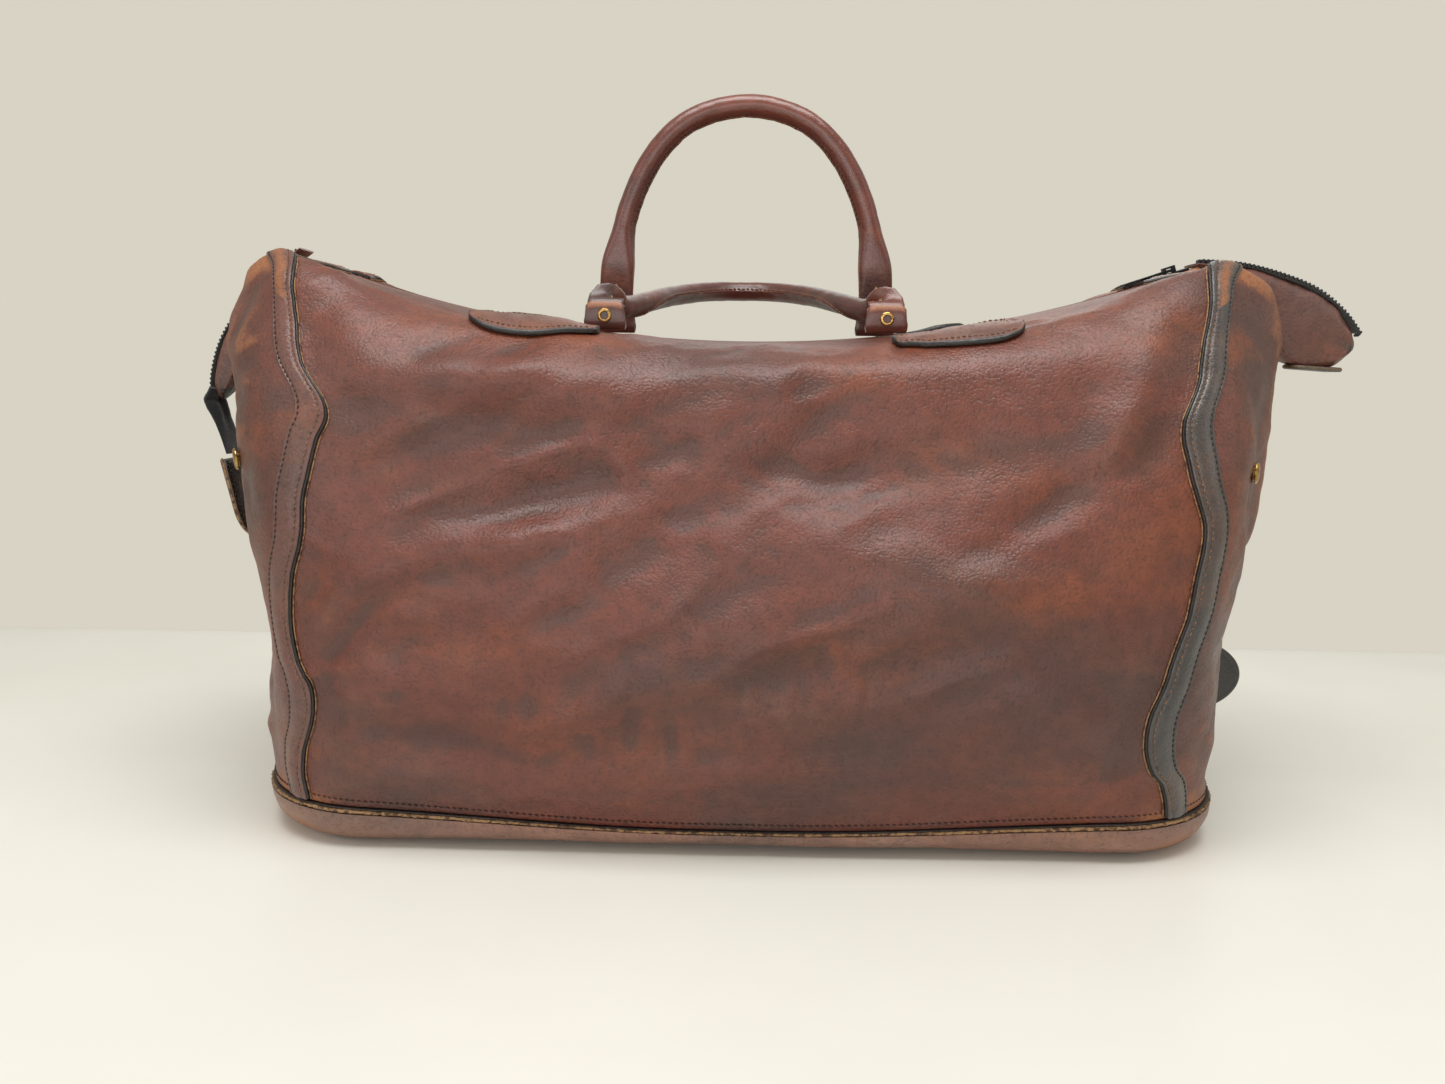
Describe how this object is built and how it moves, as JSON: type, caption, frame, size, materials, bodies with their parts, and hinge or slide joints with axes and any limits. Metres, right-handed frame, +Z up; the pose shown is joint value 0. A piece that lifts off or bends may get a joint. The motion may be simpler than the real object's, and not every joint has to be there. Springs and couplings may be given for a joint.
{
  "type": "weekender bag",
  "caption": "Soft leather weekender bag, zipped shut and standing on its base, with rolled grab handles, stitched overlay strips, a sagging top zip and snap-down zip ends.",
  "frame": {"origin": "middle of the base, on the surface that the bag stands on", "axes": "+X along the bag to its right end, +Y to its back, +Z up"},
  "size_m": [0.6938, 0.258, 0.4261],
  "materials": {
    "red_leather": "worn full-grain leather with a soft gloss, oxblood with grey-brown and orange-brown patches",
    "strip_leather": "worn full-grain leather, burnished black along its cut edge",
    "dark_strip_leather": "almost black, glossier leather",
    "handle_leather": "polished, handled leather",
    "black_leather": "smooth black leather with a raw tan edge",
    "raw_edge": "cut edge of the welt, fuzzy and yellow-brown",
    "base_board": "dense fibre board",
    "lining_cloth": "plain woven black lining",
    "zip_tape": "black woven tape",
    "zip_teeth": "chunky black moulded teeth with a soft gloss",
    "black_metal": "black painted metal, worn bright at the corners",
    "rope_core": "twisted cotton rope",
    "brass": "aged brass, dull in the hollows"
  },
  "bodies": {
    "bag": {"front_panel": "red_leather", "back_panel": "red_leather", "right_gusset": "red_leather", "left_gusset": "red_leather", "front_right_strip": "dark_strip_leather", "front_left_strip": "strip_leather", "back_left_strip": "strip_leather", "back_right_strip": "strip_leather", "base_cover": "red_leather", "base_board": "base_board", "base_welt": "raw_edge", "lining": "lining_cloth", "zip_chain": "zip_teeth", "front_zip_tape": "zip_tape", "back_zip_tape": "zip_tape", "left_gusset_stud_front": "brass", "left_gusset_stud_back": "brass", "right_gusset_stud_front": "brass", "right_gusset_stud_back": "brass", "left_snap_socket": "brass", "right_snap_socket": "brass", "right_gusset_tab": "black_leather", "front_chape_left": "handle_leather", "front_flat_end_left": "handle_leather", "front_eyelet_left": "brass", "front_patch_left": "handle_leather", "front_chape_right": "handle_leather", "front_flat_end_right": "handle_leather", "front_eyelet_right": "brass", "front_patch_right": "handle_leather", "rear_chape_left": "handle_leather", "rear_flat_end_left": "handle_leather", "rear_eyelet_left": "brass", "rear_patch_left": "handle_leather", "rear_chape_right": "handle_leather", "rear_flat_end_right": "handle_leather", "rear_eyelet_right": "brass", "rear_patch_right": "handle_leather"},
    "front_handle": {"front_handle_cover": "handle_leather", "front_handle_core": "rope_core"},
    "rear_handle": {"rear_handle_cover": "handle_leather", "rear_handle_core": "rope_core"},
    "slider": {"zip_slider": "black_metal"},
    "pull": {"zip_pull": "black_metal"},
    "left_zip_end": {"left_zip_end_leather": "red_leather", "left_zip_end_chain": "zip_teeth", "left_tail": "zip_tape"},
    "left_tab": {"left_snap_tab": "black_leather", "left_snap_cap": "brass"},
    "right_zip_end": {"right_zip_end_leather": "red_leather", "right_zip_end_chain": "zip_teeth"},
    "right_tab": {"right_snap_tab": "black_leather"}
  },
  "joints": [
    {"name": "front_handle_swing", "type": "hinge", "parent": "bag", "child": "front_handle", "pos_m": [0, -0.028, 0.297], "axis": [1, 0, 0], "range_deg": [0, 172]},
    {"name": "rear_handle_swing", "type": "hinge", "parent": "bag", "child": "rear_handle", "pos_m": [0, 0.028, 0.297], "axis": [1, 0, 0], "range_deg": [-88, 20]},
    {"name": "slider_travel", "type": "hinge", "parent": "bag", "child": "slider", "pos_m": [0, 0, 1.059], "axis": [0, 1, 0], "range_deg": [0, 36]},
    {"name": "pull_flip", "type": "hinge", "parent": "slider", "child": "pull", "pos_m": [0.25095, 0, 0.31973], "axis": [0, 1, 0], "range_deg": [0, 100]},
    {"name": "left_zip_end_fold", "type": "hinge", "parent": "bag", "child": "left_zip_end", "pos_m": [-0.268, 0, 0.324], "axis": [0, 1, 0], "range_deg": [0, 45]},
    {"name": "left_tab_fold", "type": "hinge", "parent": "left_zip_end", "child": "left_tab", "pos_m": [-0.3125, 0, 0.2025], "axis": [0, 1, 0], "range_deg": [0, 70]},
    {"name": "right_zip_end_fold", "type": "hinge", "parent": "bag", "child": "right_zip_end", "pos_m": [0.268, 0, 0.324], "axis": [0, 1, 0], "range_deg": [-20, 25]},
    {"name": "right_tab_fold", "type": "hinge", "parent": "right_zip_end", "child": "right_tab", "pos_m": [0.3545, 0, 0.2638], "axis": [0, -1, 0], "range_deg": [0, 120]}
  ]
}
